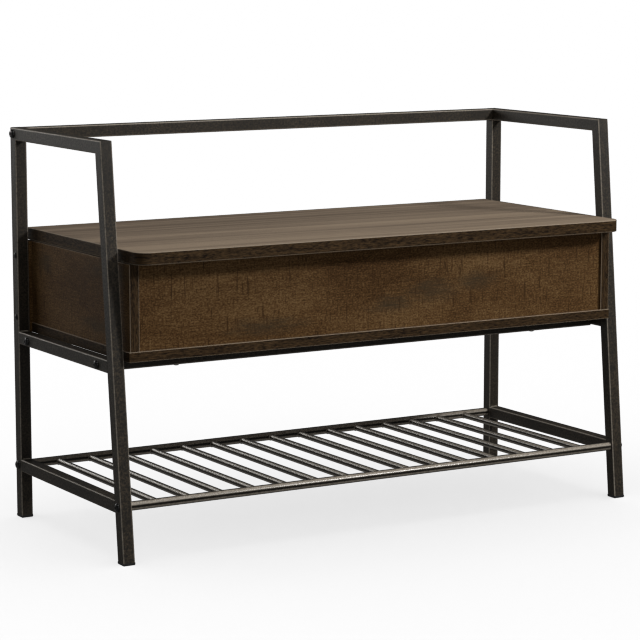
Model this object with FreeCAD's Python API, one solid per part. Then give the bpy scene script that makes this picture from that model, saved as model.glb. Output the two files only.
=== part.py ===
import FreeCAD, Part
import math
import os

# Entryway bench: two welded square-tube side frames joined by rails, a board storage box
# with a lift-up lid, and a shoe shelf of round rods. Millimetres.
# X runs along the seat, Y from front to back, Z up. The origin is on the floor, under the
# middle of the bench. A "reach" is a distance forward from the rear face of the rear posts.

V = FreeCAD.Vector
X_AXIS = V(1, 0, 0)
Y_AXIS = V(0, 1, 0)
Z_AXIS = V(0, 0, 1)

# Overall sizes
FRAME_WIDTH = 972.0        # outer face to outer face of the side frames
FRAME_HEIGHT = 657.0       # floor to the top of the arm rails
SEAT_HEIGHT = 490.0        # floor to the top of the lid
LID_REACH = 420.5          # the lid's front edge
FOOT_REACH = 408.0         # front face of the leaning post at the floor
TOP_REACH = 342.5          # front face of the leaning post at its top

# Square tube and the rail levels
TUBE = 20.0
TUBE_WALL = 1.2
TUBE_CORNER = 1.8          # outer corner radius
MID_RAIL_TOP = 317.5
CROSS_RAIL_DROP = 1.8      # cross rails below the mid rails' tops: the box sits down between them
LOW_RAIL_TOP = 100.0
FRONT_CROSS_REACH = 319.5  # centre line of the cross rail under the front of the box
REAR_CROSS_REACH = 53.5    # centre line of the cross rail under the back of the box
GLIDE_HEIGHT = 4.0         # plastic foot under each post
GLIDE_ROUND = 1.6
GLIDE_STEM = 14.0          # length pressed up into the tube

# Shoe shelf
BAR_RADIUS = 7.0           # front and rear round bars
BAR_WALL = 1.5
ROD_RADIUS = 5.2           # rods from front bar to rear bar
ROD_WALL = 1.0
ROD_COUNT = 15
ROD_END_GAP = 53.0         # first and last rod centre to the side frame
ROD_DROP = 1.2             # rod centre below bar centre

# Storage box and lid
BOARD = 16.0
BOX_SIDE_GAP = 6.0         # side panel to the side frame
FLOOR_SIDE_GAP = 4.2       # bottom board to the side frame: it stands out under the side panels
BOX_REACH = 387.0          # front edges of the side panels and the bottom board
FRONT_RECESS = 5.0         # front panel set back from the side panels' edges
BOX_TOP_GAP = 1.5          # box rim to the lid's underside
BOARD_EASE = 0.6           # small round on every board edge
LID_THICKNESS = 19.5
LID_SIDE_GAP = 5.6         # lid end to the side frame
LID_CORNER = 22.0          # rounded front corners of the lid
LID_EASE = 1.0
BUMPER_RADIUS = 4.0
BUMPER_GAP = 0.1           # bumper to the closed lid
BUMPER_REACHES = (70.0, 350.0)

# Bolts that join the side frames to the rails and bars
BOLT_RADIUS = 3.0
BOLT_HOLE_RADIUS = 3.25
BOLT_HEAD_RADIUS = 7.0
BOLT_HEAD_HEIGHT = 4.4
BOLT_KEY = 4.0             # across the flats of the hexagon socket
BOLT_LENGTH = 34.0
END_NUT_LENGTH = 16.0      # threaded plug fixed in a rail or bar end
THREAD_GAP = 0.05
PLUG_GAP = 0.05            # plug to the tube bore, each side

# Bolts through the rear posts into the back panel
PANEL_BOLT_RADIUS = 2.5
PANEL_BOLT_HOLE_RADIUS = 2.75
PANEL_BOLT_HEAD_RADIUS = 4.75
PANEL_BOLT_HEAD_HEIGHT = 2.7
PANEL_BOLT_KEY = 3.0
PANEL_BOLT_LENGTH = 32.0
PANEL_BOLT_INSET = 24.0    # bolts below the back panel's top and above the mid rail's top
INSERT_RADIUS = 4.5
INSERT_LENGTH = 13.0

# Screws up through the cross rails into the bottom board
BOARD_SCREW_INSET = 120.0  # screw to the side frame
BOARD_SCREW_RADIUS = 2.2
BOARD_SCREW_HEAD_RADIUS = 4.6
BOARD_SCREW_HEAD_HEIGHT = 2.6
BOARD_SCREW_DEPTH = 12.0

# Board joinery: cam locks with their bolts, and wooden dowels
CAM_RADIUS = 7.5
CAM_DEPTH = 12.5
CAM_DISTANCE = 24.0        # cam centre to the joint face
CAM_BOLT_RADIUS = 3.0
CAM_BOLT_ANCHOR = 11.0     # cam bolt's screwed end
CAM_DRIVE_WIDTH = 1.6
CAM_DRIVE_DEPTH = 2.0
DOWEL_RADIUS = 4.0
DOWEL_ANCHOR = 10.0        # dowel length in the face it stands on
DOWEL_LENGTH = 30.0
CAM_SHARES = (0.25, 0.75)  # cam places along a joint, as shares of its length
DOWEL_SHARE = 0.5
FLOOR_DOWEL_INSET = 178.0  # dowels under the long panels to the side panel's inner face

# Lid hinges: three butt hinges on the rear edge
HINGE_INSET = 160.0        # outer hinges' middle to the end of the box
HINGE_LENGTH = 60.0
HINGE_KNUCKLES = 5
KNUCKLE_RADIUS = 2.0
KNUCKLE_GAP = 0.2          # between neighbouring knuckles
HINGE_AIR = 0.1            # knuckle to the boards and to the rear plane
PIN_RADIUS = 1.0
PIN_CLEARANCE = 0.05
LEAF_THICKNESS = 1.2
LEAF_HEIGHT = 16.0
LEAF_SCREW_HEIGHT = 9.5    # screw row from the hinge line
LEAF_SCREW_OFFSETS = (-21.0, 0.0, 21.0)
LEAF_SCREW_HEAD_RADIUS = 2.6
LEAF_SCREW_RADIUS = 1.4
LEAF_SCREW_LENGTH = 13.0

# Folding lid stays, one inside each end of the box.
# Pivots are measured from the hinge line: forward, and down with the lid closed.
STAY_LID_FORWARD = 135.5
STAY_LID_DOWN = 12.5
STAY_SIDE_FORWARD = 62.0
STAY_SIDE_DOWN = 89.0
UPPER_LINK_LENGTH = 108.3
LOWER_LINK_LENGTH = 135.9
LINK_HALF_WIDTH = 7.0
LINK_THICKNESS = 2.0
LINK_GAP = 0.5             # between the flat pieces of a stay
STAY_PLATE = 1.6
STAY_STUD_RADIUS = 2.95
STAY_CLEARANCE = 0.05
ELBOW_PLAY = 0.55          # extra play of the elbow hole round its rivet
STAY_HEAD_RADIUS = 5.0
STAY_HEAD_HEIGHT = 1.2
STAY_HEAD_GAP = 0.3
SIDE_PLATE_HALF_WIDTH = 11.0
SIDE_PLATE_ABOVE = 10.0
SIDE_PLATE_BELOW = 36.0
SIDE_SCREW_DROPS = (16.0, 29.0)
LID_PLATE_WIDTH = 20.0
LID_PLATE_HALF_LENGTH = 18.0
LID_SCREW_OFFSET = 11.0
LID_TAB_HALF_WIDTH = 9.0
STAY_SCREW_RADIUS = 1.7
STAY_SCREW_HEAD_RADIUS = 3.4
STAY_SCREW_HEAD_HEIGHT = 1.8
STAY_SCREW_LENGTH = 12.0

# Worked-out places
PLANE_SIZE = 2000.0        # half-space blocks used for cutting tube ends
FRAME_X = (FRAME_WIDTH - TUBE) / 2
FRAME_INNER_X = FRAME_WIDTH / 2 - TUBE
LEAN = (FOOT_REACH - TOP_REACH) / FRAME_HEIGHT
LEAN_SCALE = math.sqrt(1 + LEAN ** 2)
TOP_RAIL_Z = FRAME_HEIGHT - TUBE / 2
MID_RAIL_Z = MID_RAIL_TOP - TUBE / 2
LOW_RAIL_Z = LOW_RAIL_TOP - TUBE / 2
ROD_Z = LOW_RAIL_Z - ROD_DROP
CROSS_RAIL_TOP = MID_RAIL_TOP - CROSS_RAIL_DROP
CROSS_RAIL_Z = CROSS_RAIL_TOP - TUBE / 2
BOX_FLOOR = CROSS_RAIL_TOP + BOARD
LID_BOTTOM = SEAT_HEIGHT - LID_THICKNESS
BOX_TOP = LID_BOTTOM - BOX_TOP_GAP
BOX_OUTER_X = FRAME_INNER_X - BOX_SIDE_GAP
BOX_INNER_X = BOX_OUTER_X - BOARD
HINGE_POSITIONS = (HINGE_INSET - BOX_OUTER_X, 0.0, BOX_OUTER_X - HINGE_INSET)
ROD_PITCH = 2 * (FRAME_INNER_X - ROD_END_GAP) / (ROD_COUNT - 1)
HINGE_REACH = HINGE_AIR + KNUCKLE_RADIUS
HINGE_Z = BOX_TOP + BOX_TOP_GAP / 2
REAR_FACE_REACH = HINGE_REACH + KNUCKLE_RADIUS + HINGE_AIR
BACK_PANEL_FRONT = REAR_FACE_REACH + BOARD
BACK_PANEL_MIDDLE = REAR_FACE_REACH + BOARD / 2
FRONT_PANEL_FACE = BOX_REACH - FRONT_RECESS


def y_at(reach):
    """The Y of a point that lies a reach forward of the rear posts' rear face."""
    return LID_REACH / 2 - reach


def post_front_reach(z):
    """Reach of the leaning post's front face at a height."""
    return FOOT_REACH - LEAN * z


def post_rear_reach(z):
    """Reach of the leaning post's rear face at a height."""
    return post_front_reach(z) - TUBE * LEAN_SCALE


def post_middle_reach(z):
    """Reach of the leaning post's centre line at a height."""
    return post_front_reach(z) - TUBE * LEAN_SCALE / 2


def mirrored(shape):
    """The same shape on the left-hand side."""
    return shape.mirror(V(0, 0, 0), X_AXIS)


def both_sides(shapes):
    """Right-hand shapes followed by their left-hand copies."""
    return list(shapes) + [mirrored(shape) for shape in shapes]


def save(name, shapes):
    """Write one node as a STEP file."""
    Part.makeCompound(list(shapes)).exportStep("parts/" + name + ".step")


def save_pair(name, shape):
    """Write a right-hand piece and its left-hand copy as two nodes."""
    save("right_" + name, [shape])
    save("left_" + name, [mirrored(shape)])


def turned(shape, direction, place):
    """A shape made along +Z, turned along a direction and moved to a place."""
    copy = shape.copy()
    copy.Placement = FreeCAD.Placement(place, FreeCAD.Rotation(Z_AXIS, direction))
    return copy


def square_bar(size, radius, length):
    """A square bar standing on the origin along +Z, its long edges rounded."""
    block = Part.makeBox(size, size, length, V(-size / 2, -size / 2, 0))
    long_edges = [edge for edge in block.Edges if abs(edge.Length - length) < 1e-6]
    return block.makeFillet(radius, long_edges)


def square_tube(length):
    """A hollow square tube standing on the origin along +Z."""
    bore_size = TUBE - 2 * TUBE_WALL
    return square_bar(TUBE, TUBE_CORNER, length).cut(square_bar(bore_size, TUBE_CORNER / 3, length))


def keep_side(shape, point, normal):
    """The part of a shape on the side of a plane that its normal points to."""
    half = PLANE_SIZE / 2
    block = Part.makeBox(PLANE_SIZE, PLANE_SIZE, PLANE_SIZE, V(-half, -half, -PLANE_SIZE))
    return shape.cut(turned(block, normal, point))


def cylinder(radius, start, direction, length):
    """A round solid from a start point along a direction."""
    return Part.makeCylinder(radius, length, start, direction)


def cut_all(shape, tools):
    """A shape with every tool cut out of it."""
    return shape.cut(list(tools)) if tools else shape


def eased_board(low, high, ease):
    """A board between two corners with every edge slightly rounded."""
    size = high - low
    block = Part.makeBox(size.x, size.y, size.z, low)
    return block.makeFillet(ease, block.Edges)


def dome_head(radius, height):
    """A domed head above the XY plane, with a small flat on top."""
    rim = V(radius, 0, height * 0.15)
    crown = V(radius * 0.45, 0, height)
    shoulder = V(radius * 0.87, 0, height * 0.68)
    outline = [
        Part.makeLine(V(0, 0, 0), V(radius, 0, 0)),
        Part.makeLine(V(radius, 0, 0), rim),
        Part.Arc(rim, shoulder, crown).toShape(),
        Part.makeLine(crown, V(0, 0, height)),
        Part.makeLine(V(0, 0, height), V(0, 0, 0)),
    ]
    return Part.Face(Part.Wire(outline)).revolve(V(0, 0, 0), Z_AXIS, 360)


def socket(across, depth, top):
    """A hexagon prism going down from a height."""
    corner = across / math.sqrt(3)
    angles = [math.radians(60 * step) for step in range(7)]
    points = [V(corner * math.cos(a), corner * math.sin(a), top - depth) for a in angles]
    return Part.Face(Part.makePolygon(points)).extrude(V(0, 0, depth))


def socket_bolt(head_radius, head_height, key, shank_radius, shank_length):
    """A dome-headed bolt with a hexagon socket; its shank goes down from the origin."""
    head = dome_head(head_radius, head_height).cut(socket(key, head_height * 0.6, head_height))
    return head.fuse(cylinder(shank_radius, V(0, 0, 0), -Z_AXIS, shank_length)).removeSplitter()


def pan_screw(head_radius, head_height, shank_radius, shank_length):
    """A dome-headed screw with a cross slot; its shank goes down from the origin."""
    slot_width = head_radius * 0.2
    slot_depth = head_height * 0.5
    slot_length = head_radius * 0.8
    head = dome_head(head_radius, head_height)
    slot_low = head_height - slot_depth
    slots = [
        Part.makeBox(slot_length, slot_width, slot_depth, V(-slot_length / 2, -slot_width / 2, slot_low)),
        Part.makeBox(slot_width, slot_length, slot_depth, V(-slot_width / 2, -slot_length / 2, slot_low)),
    ]
    shank = cylinder(shank_radius, V(0, 0, 0), -Z_AXIS, shank_length)
    return cut_all(head, slots).fuse(shank).removeSplitter()


def bolt_stations():
    """Places on the right-hand outer face where a rail or bar is bolted on."""
    return {
        "top": V(FRAME_WIDTH / 2, y_at(TUBE / 2), TOP_RAIL_Z),
        "rear_cross": V(FRAME_WIDTH / 2, y_at(REAR_CROSS_REACH), CROSS_RAIL_Z),
        "front_cross": V(FRAME_WIDTH / 2, y_at(FRONT_CROSS_REACH), CROSS_RAIL_Z),
        "rear_bar": V(FRAME_WIDTH / 2, y_at(TUBE / 2), LOW_RAIL_Z),
        "front_bar": V(FRAME_WIDTH / 2, y_at(post_middle_reach(LOW_RAIL_Z)), LOW_RAIL_Z),
    }


def panel_bolt_stations():
    """Places on the right-hand rear post where the back panel is bolted on."""
    heights = (MID_RAIL_TOP + PANEL_BOLT_INSET, BOX_TOP - PANEL_BOLT_INSET)
    return [V(FRAME_WIDTH / 2, y_at(BACK_PANEL_MIDDLE), z) for z in heights]


def frame_holes(names):
    """Bolt holes through a right-hand tube, along X."""
    places = bolt_stations()
    return [cylinder(BOLT_HOLE_RADIUS, places[name], -X_AXIS, TUBE) for name in names]


def make_rear_post():
    """Upright tube, mitred at the top into the arm rail."""
    post = turned(square_tube(FRAME_HEIGHT), Z_AXIS, V(FRAME_X, y_at(TUBE / 2), 0))
    post = keep_side(post, V(0, 0, GLIDE_HEIGHT), Z_AXIS)
    post = keep_side(post, V(0, y_at(0), FRAME_HEIGHT), V(0, 1, -1))
    panel_holes = [
        cylinder(PANEL_BOLT_HOLE_RADIUS, place, -X_AXIS, TUBE) for place in panel_bolt_stations()
    ]
    return cut_all(post, frame_holes(("top", "rear_bar")) + panel_holes)


def leaning(shape):
    """A shape made along +Z, laid along the leaning post's centre line."""
    start = V(FRAME_X, y_at(post_middle_reach(0)), 0)
    return turned(shape, V(0, LEAN, 1), start - V(0, LEAN, 1) * TUBE)


def front_mitre():
    """A point on the mitre of the front top corner, and its direction towards the inside."""
    inner_z = FRAME_HEIGHT - TUBE
    outer = V(0, y_at(TOP_REACH), FRAME_HEIGHT)
    inner = V(0, y_at(post_rear_reach(inner_z)), inner_z)
    return outer, inner - outer


def make_front_post():
    """Leaning tube, cut level at the foot and mitred at the top."""
    post = leaning(square_tube(FRAME_HEIGHT + 4 * TUBE))
    post = keep_side(post, V(0, 0, GLIDE_HEIGHT), Z_AXIS)
    corner, inward = front_mitre()
    post = keep_side(post, corner, V(0, inward.z, -inward.y))
    return cut_all(post, frame_holes(("front_bar",)))


def make_top_rail():
    """Arm rail, mitred at both ends."""
    rail = turned(square_tube(TOP_REACH), Y_AXIS, V(FRAME_X, y_at(TOP_REACH), TOP_RAIL_Z))
    rail = keep_side(rail, V(0, y_at(0), FRAME_HEIGHT), V(0, -1, 1))
    corner, inward = front_mitre()
    rail = keep_side(rail, corner, V(0, -inward.z, inward.y))
    return cut_all(rail, frame_holes(("top",)))


def make_side_rail(z, hole_names):
    """Level tube from the leaning post to the rear post."""
    rail = turned(square_tube(FOOT_REACH), Y_AXIS, V(FRAME_X, y_at(FOOT_REACH), z))
    rail = keep_side(rail, V(0, y_at(TUBE), 0), -Y_AXIS)
    rail = keep_side(rail, V(0, y_at(post_rear_reach(0)), 0), V(0, 1, -LEAN))
    return cut_all(rail, frame_holes(hole_names))


def make_side_frames():
    """The five welded tubes of each side frame."""
    save_pair("rear_post", make_rear_post())
    save_pair("front_post", make_front_post())
    save_pair("top_rail", make_top_rail())
    save_pair("mid_rail", make_side_rail(MID_RAIL_Z, ("rear_cross", "front_cross")))
    save_pair("low_rail", make_side_rail(LOW_RAIL_Z, ()))


def make_glide(front_y, rear_y, stem):
    """A plastic foot: a pad under the tube with a stem up its bore."""
    depth = rear_y - front_y
    pad = Part.makeBox(TUBE, depth, GLIDE_HEIGHT, V(FRAME_X - TUBE / 2, front_y, 0))
    bottom = [edge for edge in pad.Edges if edge.BoundBox.ZMax < 1e-6]
    pad = pad.makeFillet(GLIDE_ROUND, bottom)
    stem = keep_side(stem, V(0, 0, GLIDE_HEIGHT), Z_AXIS)
    stem = keep_side(stem, V(0, 0, GLIDE_HEIGHT + GLIDE_STEM), -Z_AXIS)
    return pad.fuse(stem).removeSplitter()


def make_glides():
    """Four feet, one in each post."""
    stem_size = TUBE - 2 * TUBE_WALL - 2 * PLUG_GAP
    stem = square_bar(stem_size, TUBE_CORNER / 3, 4 * TUBE)
    rear_stem = turned(stem, Z_AXIS, V(FRAME_X, y_at(TUBE / 2), 0))
    rear = make_glide(y_at(TUBE), y_at(0), rear_stem)
    front_y = y_at(post_front_reach(GLIDE_HEIGHT))
    rear_y = y_at(post_rear_reach(GLIDE_HEIGHT))
    front = make_glide(front_y, rear_y, leaning(stem))
    save("foot_glides", both_sides([rear, front]))


def screw_places():
    """Right-hand places under the cross rails where the bottom board is screwed on."""
    low = CROSS_RAIL_TOP - TUBE
    reaches = (FRONT_CROSS_REACH, REAR_CROSS_REACH)
    x = FRAME_INNER_X - BOARD_SCREW_INSET
    return [V(x, y_at(reach), low) for reach in reaches]


def board_screw_shanks():
    """Space taken by the bottom board's screws, on both sides."""
    length = TUBE + BOARD_SCREW_DEPTH
    shanks = [cylinder(BOARD_SCREW_RADIUS, place, Z_AXIS, length) for place in screw_places()]
    return both_sides(shanks)


def make_level_rail(reach, z):
    """Square tube along X between the side frames."""
    length = 2 * FRAME_INNER_X
    return turned(square_tube(length), X_AXIS, V(-FRAME_INNER_X, y_at(reach), z))


def make_rails():
    """Back top rail and the two cross rails that carry the box."""
    save("back_top_rail", [make_level_rail(TUBE / 2, TOP_RAIL_Z)])
    shanks = board_screw_shanks()
    save("front_cross_rail", [cut_all(make_level_rail(FRONT_CROSS_REACH, CROSS_RAIL_Z), shanks)])
    save("rear_cross_rail", [cut_all(make_level_rail(REAR_CROSS_REACH, CROSS_RAIL_Z), shanks)])


def make_end_nuts():
    """Threaded plugs fixed in the ends of the rails and of the shelf bars."""
    thread = cylinder(BOLT_RADIUS + THREAD_GAP, V(0, 0, 0), Z_AXIS, END_NUT_LENGTH)
    square_size = TUBE - 2 * TUBE_WALL - 2 * PLUG_GAP
    square_nut = square_bar(square_size, TUBE_CORNER / 3, END_NUT_LENGTH).cut(thread)
    round_radius = BAR_RADIUS - BAR_WALL - PLUG_GAP
    round_nut = cylinder(round_radius, V(0, 0, 0), Z_AXIS, END_NUT_LENGTH).cut(thread)
    inward = V(-TUBE, 0, 0)
    places = bolt_stations()
    rails = [turned(square_nut, -X_AXIS, places[n] + inward) for n in ("top", "rear_cross", "front_cross")]
    bars = [turned(round_nut, -X_AXIS, places[n] + inward) for n in ("rear_bar", "front_bar")]
    save("rail_end_nuts", both_sides(rails))
    save("bar_end_nuts", both_sides(bars))


def make_frame_bolts():
    """Dome-headed bolts through the side frames."""
    bolt = socket_bolt(BOLT_HEAD_RADIUS, BOLT_HEAD_HEIGHT, BOLT_KEY, BOLT_RADIUS, BOLT_LENGTH)
    bolts = [turned(bolt, X_AXIS, place) for place in bolt_stations().values()]
    save("frame_bolts", both_sides(bolts))
    small = socket_bolt(
        PANEL_BOLT_HEAD_RADIUS, PANEL_BOLT_HEAD_HEIGHT, PANEL_BOLT_KEY, PANEL_BOLT_RADIUS, PANEL_BOLT_LENGTH
    )
    save("panel_bolts", both_sides([turned(small, X_AXIS, place) for place in panel_bolt_stations()]))


def panel_insert_blanks():
    """Solid outlines of the threaded inserts in the back panel's ends, on both sides."""
    blanks = []
    for place in panel_bolt_stations():
        start = V(FRAME_INNER_X, place.y, place.z)
        blanks.append(cylinder(INSERT_RADIUS, start, -X_AXIS, INSERT_LENGTH))
    return both_sides(blanks)


def make_panel_inserts():
    """Threaded inserts that the rear-post bolts screw into."""
    threads = []
    for place in panel_bolt_stations():
        threads.append(cylinder(PANEL_BOLT_RADIUS + THREAD_GAP, place, -X_AXIS, PANEL_BOLT_LENGTH + TUBE))
    threads = both_sides(threads)
    save("panel_inserts", [cut_all(blank, threads) for blank in panel_insert_blanks()])


def make_shelf_bar(place):
    """Round tube along X between the side frames."""
    start = V(-FRAME_INNER_X, place.y, place.z)
    length = 2 * FRAME_INNER_X
    bore = cylinder(BAR_RADIUS - BAR_WALL, start, X_AXIS, length)
    return cylinder(BAR_RADIUS, start, X_AXIS, length).cut(bore)


def make_shelf():
    """Front and rear bars, and the rods welded between them with coped ends."""
    places = bolt_stations()
    front, rear = places["front_bar"], places["rear_bar"]
    save("shelf_front_bar", [make_shelf_bar(front)])
    save("shelf_rear_bar", [make_shelf_bar(rear)])
    length = rear.y - front.y
    bar_space = [
        cylinder(BAR_RADIUS, V(-FRAME_INNER_X, bar.y, bar.z), X_AXIS, 2 * FRAME_INNER_X)
        for bar in (front, rear)
    ]
    rods = []
    for number in range(ROD_COUNT):
        x = (number - (ROD_COUNT - 1) / 2) * ROD_PITCH
        start = V(x, front.y, ROD_Z)
        tube = cylinder(ROD_RADIUS, start, Y_AXIS, length)
        tube = tube.cut(cylinder(ROD_RADIUS - ROD_WALL, start, Y_AXIS, length))
        rods.append(max(cut_all(tube, bar_space).Solids, key=lambda solid: solid.Volume))
    save("shelf_rods", rods)


def make_board_screws():
    """Screws through the cross rails into the bottom board."""
    length = TUBE + BOARD_SCREW_DEPTH
    screw = pan_screw(BOARD_SCREW_HEAD_RADIUS, BOARD_SCREW_HEAD_HEIGHT, BOARD_SCREW_RADIUS, length)
    save("board_screws", both_sides([turned(screw, -Z_AXIS, place) for place in screw_places()]))


def board_joints():
    """Right-hand corner joints of the box: face point, direction in, inner-face normal, run."""
    side_middle = BOX_OUTER_X - BOARD / 2
    front_middle = FRONT_PANEL_FACE - BOARD / 2
    wall = BOX_TOP - BOX_FLOOR
    return [
        (V(BOX_INNER_X, y_at(front_middle), BOX_FLOOR), -X_AXIS, Y_AXIS, V(0, 0, wall)),
        (V(side_middle, y_at(BACK_PANEL_FRONT), BOX_FLOOR), -Y_AXIS, -X_AXIS, V(0, 0, wall)),
        (V(side_middle, y_at(BACK_PANEL_FRONT), BOX_FLOOR), Z_AXIS, -X_AXIS,
         V(0, BACK_PANEL_FRONT - BOX_REACH, 0)),
    ]


def make_cam(centre, inner_normal):
    """A cam lock's drum, flush with the inner face, with a driver slot."""
    mouth = centre + inner_normal * (BOARD / 2)
    drum = cylinder(CAM_RADIUS, mouth, -inner_normal, CAM_DEPTH)
    slot = Part.makeBox(CAM_RADIUS * 1.3, CAM_DRIVE_WIDTH, CAM_DRIVE_DEPTH)
    slot.translate(V(-CAM_RADIUS * 0.65, -CAM_DRIVE_WIDTH / 2, -CAM_DRIVE_DEPTH))
    return drum.cut(turned(slot, inner_normal, mouth)), drum


def floor_dowels(x):
    """Dowels at one X: up into the front panel, and forward into the bottom board's rear."""
    front = V(x, y_at(FRONT_PANEL_FACE - BOARD / 2), BOX_FLOOR - DOWEL_ANCHOR)
    back = V(x, y_at(BACK_PANEL_FRONT - DOWEL_ANCHOR), CROSS_RAIL_TOP + BOARD / 2)
    return [
        cylinder(DOWEL_RADIUS, front, Z_AXIS, DOWEL_LENGTH),
        cylinder(DOWEL_RADIUS, back, -Y_AXIS, DOWEL_LENGTH),
    ]


def joinery():
    """Cam drums, drum pockets, cam bolts and dowels of the whole box."""
    cams, pockets, bolts, dowels = [], [], [], []
    bolt_length = CAM_BOLT_ANCHOR + CAM_DISTANCE - CAM_RADIUS
    for corner, inward, inner_normal, run in board_joints():
        for share in CAM_SHARES:
            face = corner + run * share
            cam, pocket = make_cam(face + inward * CAM_DISTANCE, inner_normal)
            cams.append(cam)
            pockets.append(pocket)
            bolt = cylinder(CAM_BOLT_RADIUS, face - inward * CAM_BOLT_ANCHOR, inward, bolt_length)
            bolts.append(bolt.cut(pocket))
        face = corner + run * DOWEL_SHARE
        dowels.append(cylinder(DOWEL_RADIUS, face - inward * DOWEL_ANCHOR, inward, DOWEL_LENGTH))
    dowels += floor_dowels(BOX_INNER_X - FLOOR_DOWEL_INSET)
    return both_sides(cams), both_sides(pockets), both_sides(bolts), both_sides(dowels) + floor_dowels(0)


def hinge_segments(first):
    """Start and end along X of every second knuckle of a hinge, from a first one."""
    step = HINGE_LENGTH / HINGE_KNUCKLES
    starts = [-HINGE_LENGTH / 2 + step * number for number in range(first, HINGE_KNUCKLES, 2)]
    return [(start + KNUCKLE_GAP / 2, start + step - KNUCKLE_GAP / 2) for start in starts]


def leaf_screw(x, z):
    """Countersunk hinge screw, driven forward from the leaf's rear face."""
    face = V(x, y_at(REAR_FACE_REACH) + LEAF_THICKNESS, z)
    head = Part.makeCone(LEAF_SCREW_HEAD_RADIUS, LEAF_SCREW_RADIUS, LEAF_THICKNESS, face, -Y_AXIS)
    return head.fuse(cylinder(LEAF_SCREW_RADIUS, face, -Y_AXIS, LEAF_SCREW_LENGTH)).removeSplitter()


def leaf_screws(side):
    """All screws of one row of hinge leaves: side is 1 above the hinge line, -1 below."""
    z = HINGE_Z + side * LEAF_SCREW_HEIGHT
    return [leaf_screw(x + offset, z) for x in HINGE_POSITIONS for offset in LEAF_SCREW_OFFSETS]


def make_leaf(x, side, first, bore_radius):
    """One hinge leaf with its knuckles; its neighbour's knuckles have notches in it."""
    low_z = HINGE_Z if side > 0 else HINGE_Z - LEAF_HEIGHT
    front = y_at(REAR_FACE_REACH)
    plate = Part.makeBox(HINGE_LENGTH, LEAF_THICKNESS, LEAF_HEIGHT, V(x - HINGE_LENGTH / 2, front, low_z))
    notch = KNUCKLE_RADIUS + 0.3
    for start, end in hinge_segments(1 - first):
        gap = KNUCKLE_GAP
        low = V(x + start - gap, front - LEAF_THICKNESS, HINGE_Z - notch)
        plate = plate.cut(Part.makeBox(end - start + 2 * gap, 3 * LEAF_THICKNESS, 2 * notch, low))
    for start, end in hinge_segments(first):
        centre = V(x + start, y_at(HINGE_REACH), HINGE_Z)
        plate = plate.fuse(cylinder(KNUCKLE_RADIUS, centre, X_AXIS, end - start))
    bore = cylinder(bore_radius, V(x - HINGE_LENGTH, y_at(HINGE_REACH), HINGE_Z), X_AXIS, 2 * HINGE_LENGTH)
    return plate.cut(bore).removeSplitter()


def make_hinges():
    """Three butt hinges: fixed leaves, lid leaves, pins and screws."""
    lid_screws, box_screws = leaf_screws(1), leaf_screws(-1)
    box_leaves = [make_leaf(x, -1, 0, PIN_RADIUS) for x in HINGE_POSITIONS]
    lid_leaves = [make_leaf(x, 1, 1, PIN_RADIUS + PIN_CLEARANCE) for x in HINGE_POSITIONS]
    save("hinge_box_leaves", [cut_all(leaf, box_screws) for leaf in box_leaves])
    save("hinge_lid_leaves", [cut_all(leaf, lid_screws) for leaf in lid_leaves])
    save("hinge_box_screws", box_screws)
    save("hinge_lid_screws", lid_screws)
    starts = [V(x - HINGE_LENGTH / 2, y_at(HINGE_REACH), HINGE_Z) for x in HINGE_POSITIONS]
    save("hinge_pins", [cylinder(PIN_RADIUS, start, X_AXIS, HINGE_LENGTH) for start in starts])


# Stay layers, from the side panel's inner face towards the middle of the box
SIDE_PLATE_X = BOX_INNER_X - STAY_PLATE
LOWER_LINK_X = SIDE_PLATE_X - LINK_GAP - LINK_THICKNESS
UPPER_LINK_X = LOWER_LINK_X - LINK_GAP - LINK_THICKNESS
LID_TAB_X = UPPER_LINK_X - LINK_GAP - STAY_PLATE
STAY_LID_PIVOT = V(0, y_at(HINGE_REACH + STAY_LID_FORWARD), HINGE_Z - STAY_LID_DOWN)
STAY_SIDE_PIVOT = V(0, y_at(HINGE_REACH + STAY_SIDE_FORWARD), HINGE_Z - STAY_SIDE_DOWN)


def stay_elbow():
    """The elbow of the closed stay: where the two link circles cross, forward and low."""
    across = STAY_SIDE_PIVOT - STAY_LID_PIVOT
    distance = across.Length
    along = (UPPER_LINK_LENGTH ** 2 - LOWER_LINK_LENGTH ** 2 + distance ** 2) / (2 * distance)
    aside = math.sqrt(UPPER_LINK_LENGTH ** 2 - along ** 2)
    unit = across / distance
    return STAY_LID_PIVOT + unit * along + V(0, unit.z, -unit.y) * aside


def at_x(point, x):
    """The same point moved to another X."""
    return V(x, point.y, point.z)


def make_link(start, end, x, start_radius, end_radius):
    """A flat bar with round ends and a hole at each end."""
    run = at_x(end, 0) - at_x(start, 0)
    middle = Part.makeBox(LINK_THICKNESS, 2 * LINK_HALF_WIDTH, run.Length, V(0, -LINK_HALF_WIDTH, 0))
    lean = FreeCAD.Rotation(Z_AXIS, run)
    middle.Placement = FreeCAD.Placement(at_x(start, x), lean)
    body = middle
    for point in (start, end):
        body = body.fuse(cylinder(LINK_HALF_WIDTH, at_x(point, x), X_AXIS, LINK_THICKNESS))
    for point, radius in ((start, start_radius), (end, end_radius)):
        body = body.cut(cylinder(radius, at_x(point, x), X_AXIS, LINK_THICKNESS))
    return body.removeSplitter()


def make_stud(pivot, from_x, past_x):
    """A pivot stud from a plate face through a link, with a flat head past it."""
    way = 1 if past_x > from_x else -1
    direction = X_AXIS * way
    length = abs(past_x - from_x) + STAY_HEAD_GAP
    stud = cylinder(STAY_STUD_RADIUS, at_x(pivot, from_x), direction, length)
    head_start = at_x(pivot, from_x + way * length)
    return stud.fuse(cylinder(STAY_HEAD_RADIUS, head_start, direction, STAY_HEAD_HEIGHT))


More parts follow.
